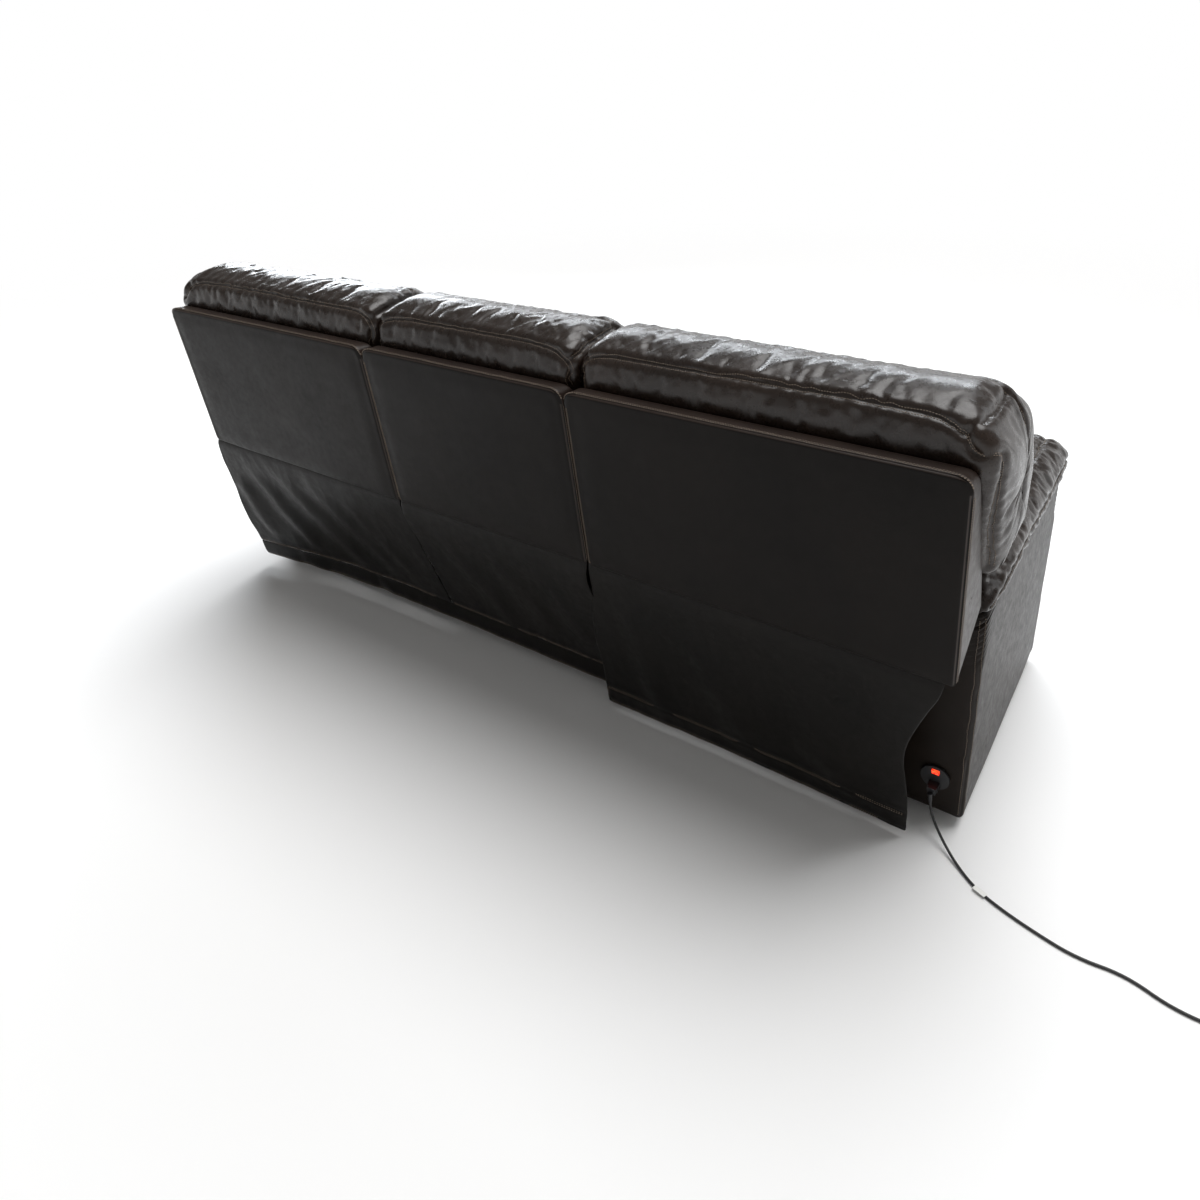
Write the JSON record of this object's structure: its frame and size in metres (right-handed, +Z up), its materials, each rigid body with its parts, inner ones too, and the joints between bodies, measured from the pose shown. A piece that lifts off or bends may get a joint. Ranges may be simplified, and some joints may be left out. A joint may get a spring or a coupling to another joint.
{
  "type": "power reclining sofa",
  "caption": "Wide leather power reclining sofa: end seats recline and raise padded footrests, tall pillow backs, puffy arms, loose rear skirt and a mains lead.",
  "frame": {"origin": "bottom centre of the sofa's bounding box, cord left out, on the floor", "axes": "+X towards the sitter's left, -Y the front, +Z up"},
  "size_m": [2.8199, 0.96, 1.0138],
  "materials": {
    "leather_cushion": "semi-gloss, soft wrinkles",
    "leather_panel": "satin, drawn tight",
    "leather_skirt": "satin, loose",
    "plywood": "birch ply stained dark",
    "black_steel": "satin black",
    "zinc_steel": "zinc plated",
    "foot_plastic": "matt",
    "button_grey": "satin",
    "cord_rubber": "matt",
    "rocker_red": "translucent, lit",
    "tag_white": "matt",
    "black_plastic": "fine grain"
  },
  "bodies": {
    "base": {"middle_seat_box": "plywood", "middle_seat_cushion": "leather_cushion", "middle_front_panel": "leather_cushion", "middle_back_board": "plywood", "middle_back_panel": "leather_panel", "middle_back_cushion": "leather_cushion", "middle_back_flap": "leather_skirt", "rear_hem": "leather_skirt", "feet": "foot_plastic", "wiring_conduit": "black_plastic", "power_supply": "black_plastic", "inlet_plate": "black_plastic", "inlet_socket": "black_plastic", "cord_connector": "black_plastic", "power_cord": "cord_rubber", "power_cord_coil": "cord_rubber", "power_plug": "black_plastic", "cord_tag": "tag_white", "left_arm_frame": "plywood", "left_arm_cover": "leather_panel", "left_arm_pad": "leather_cushion", "left_control_pod": "black_plastic", "left_base_frame": "black_steel", "left_actuator": "zinc_steel", "left_back_flap": "leather_skirt", "right_arm_frame": "plywood", "right_arm_cover": "leather_panel", "right_arm_pad": "leather_cushion", "right_control_pod": "black_plastic", "right_base_frame": "black_steel", "right_actuator": "zinc_steel", "right_back_flap": "leather_skirt"},
    "power_rocker": {"power_rocker": "rocker_red"},
    "left_back": {"left_back_board": "plywood", "left_back_panel": "leather_panel", "left_back_cushion": "leather_cushion", "left_back_bracket": "black_steel"},
    "left_seat": {"left_seat_deck": "plywood", "left_seat_cushion": "leather_cushion"},
    "left_link_lower": {"left_link_lower": "black_steel"},
    "left_link_upper": {"left_link_upper": "black_steel"},
    "left_footrest": {"left_footrest_board": "plywood", "left_footrest_pad": "leather_cushion"},
    "left_carriage": {"left_carriage": "zinc_steel"},
    "left_front_button": {"left_front_button": "button_grey"},
    "left_rear_button": {"left_rear_button": "button_grey"},
    "right_back": {"right_back_board": "plywood", "right_back_panel": "leather_panel", "right_back_cushion": "leather_cushion", "right_back_bracket": "black_steel"},
    "right_seat": {"right_seat_deck": "plywood", "right_seat_cushion": "leather_cushion"},
    "right_link_lower": {"right_link_lower": "black_steel"},
    "right_link_upper": {"right_link_upper": "black_steel"},
    "right_footrest": {"right_footrest_board": "plywood", "right_footrest_pad": "leather_cushion"},
    "right_carriage": {"right_carriage": "zinc_steel"},
    "right_front_button": {"right_front_button": "button_grey"},
    "right_rear_button": {"right_rear_button": "button_grey"}
  },
  "joints": [
    {"name": "left_recline", "type": "hinge", "parent": "base", "child": "left_back", "pos_m": [0.584, 0.23, 0.43], "axis": [-1, 0, 0], "range_deg": [0, 30], "deforming": ["left_back_flap"]},
    {"name": "left_seat_slide", "type": "slide", "parent": "base", "child": "left_seat", "axis": [0, -1, 0], "range_m": [0, 0.05]},
    {"name": "left_lower_link_pivot", "type": "hinge", "parent": "left_seat", "child": "left_link_lower", "pos_m": [0.584, -0.3, 0.255], "axis": [-1, 0, 0], "range_deg": [0, 170]},
    {"name": "left_upper_link_pivot", "type": "hinge", "parent": "left_link_lower", "child": "left_link_upper", "pos_m": [0.584, -0.15, 0.255], "axis": [-1, 0, 0], "range_deg": [-145, 0]},
    {"name": "left_footrest_pivot", "type": "hinge", "parent": "left_link_upper", "child": "left_footrest", "pos_m": [0.584, -0.415, 0.255], "axis": [-1, 0, 0], "range_deg": [0, 65]},
    {"name": "left_carriage_slide", "type": "slide", "parent": "base", "child": "left_carriage", "axis": [0, -1, 0], "range_m": [0, 0.08]},
    {"name": "left_front_button_press", "type": "slide", "parent": "base", "child": "left_front_button", "axis": [1, 0, 0], "range_m": [0, 0.0015], "stiffness_N_per_m": 400},
    {"name": "left_rear_button_press", "type": "slide", "parent": "base", "child": "left_rear_button", "axis": [1, 0, 0], "range_m": [0, 0.0015], "stiffness_N_per_m": 400},
    {"name": "right_recline", "type": "hinge", "parent": "base", "child": "right_back", "pos_m": [-0.584, 0.23, 0.43], "axis": [-1, 0, 0], "range_deg": [0, 30], "deforming": ["right_back_flap"]},
    {"name": "right_seat_slide", "type": "slide", "parent": "base", "child": "right_seat", "axis": [0, -1, 0], "range_m": [0, 0.05]},
    {"name": "right_lower_link_pivot", "type": "hinge", "parent": "right_seat", "child": "right_link_lower", "pos_m": [-0.584, -0.3, 0.255], "axis": [-1, 0, 0], "range_deg": [0, 170]},
    {"name": "right_upper_link_pivot", "type": "hinge", "parent": "right_link_lower", "child": "right_link_upper", "pos_m": [-0.584, -0.15, 0.255], "axis": [-1, 0, 0], "range_deg": [-145, 0]},
    {"name": "right_footrest_pivot", "type": "hinge", "parent": "right_link_upper", "child": "right_footrest", "pos_m": [-0.584, -0.415, 0.255], "axis": [-1, 0, 0], "range_deg": [0, 65]},
    {"name": "right_carriage_slide", "type": "slide", "parent": "base", "child": "right_carriage", "axis": [0, -1, 0], "range_m": [0, 0.08]},
    {"name": "right_front_button_press", "type": "slide", "parent": "base", "child": "right_front_button", "axis": [-1, 0, 0], "range_m": [0, 0.0015], "stiffness_N_per_m": 400},
    {"name": "right_rear_button_press", "type": "slide", "parent": "base", "child": "right_rear_button", "axis": [-1, 0, 0], "range_m": [0, 0.0015], "stiffness_N_per_m": 400},
    {"name": "power_rocker_tilt", "type": "hinge", "parent": "base", "child": "power_rocker", "pos_m": [-1.029, 0.24095, 0.13476], "axis": [1, 0, 0], "range_deg": [0, 14]}
  ],
  "couplings": [
    {"joint": "left_seat_slide", "follows": "left_recline", "m_per_rad": 0.09549},
    {"joint": "left_lower_link_pivot", "follows": "left_recline", "ratio": 5.6666},
    {"joint": "left_upper_link_pivot", "follows": "left_recline", "ratio": -4.8333},
    {"joint": "left_footrest_pivot", "follows": "left_recline", "ratio": 2.1666},
    {"joint": "left_carriage_slide", "follows": "left_recline", "m_per_rad": 0.15278},
    {"joint": "right_seat_slide", "follows": "right_recline", "m_per_rad": 0.09549},
    {"joint": "right_lower_link_pivot", "follows": "right_recline", "ratio": 5.6666},
    {"joint": "right_upper_link_pivot", "follows": "right_recline", "ratio": -4.8333},
    {"joint": "right_footrest_pivot", "follows": "right_recline", "ratio": 2.1666},
    {"joint": "right_carriage_slide", "follows": "right_recline", "m_per_rad": 0.15278}
  ]
}
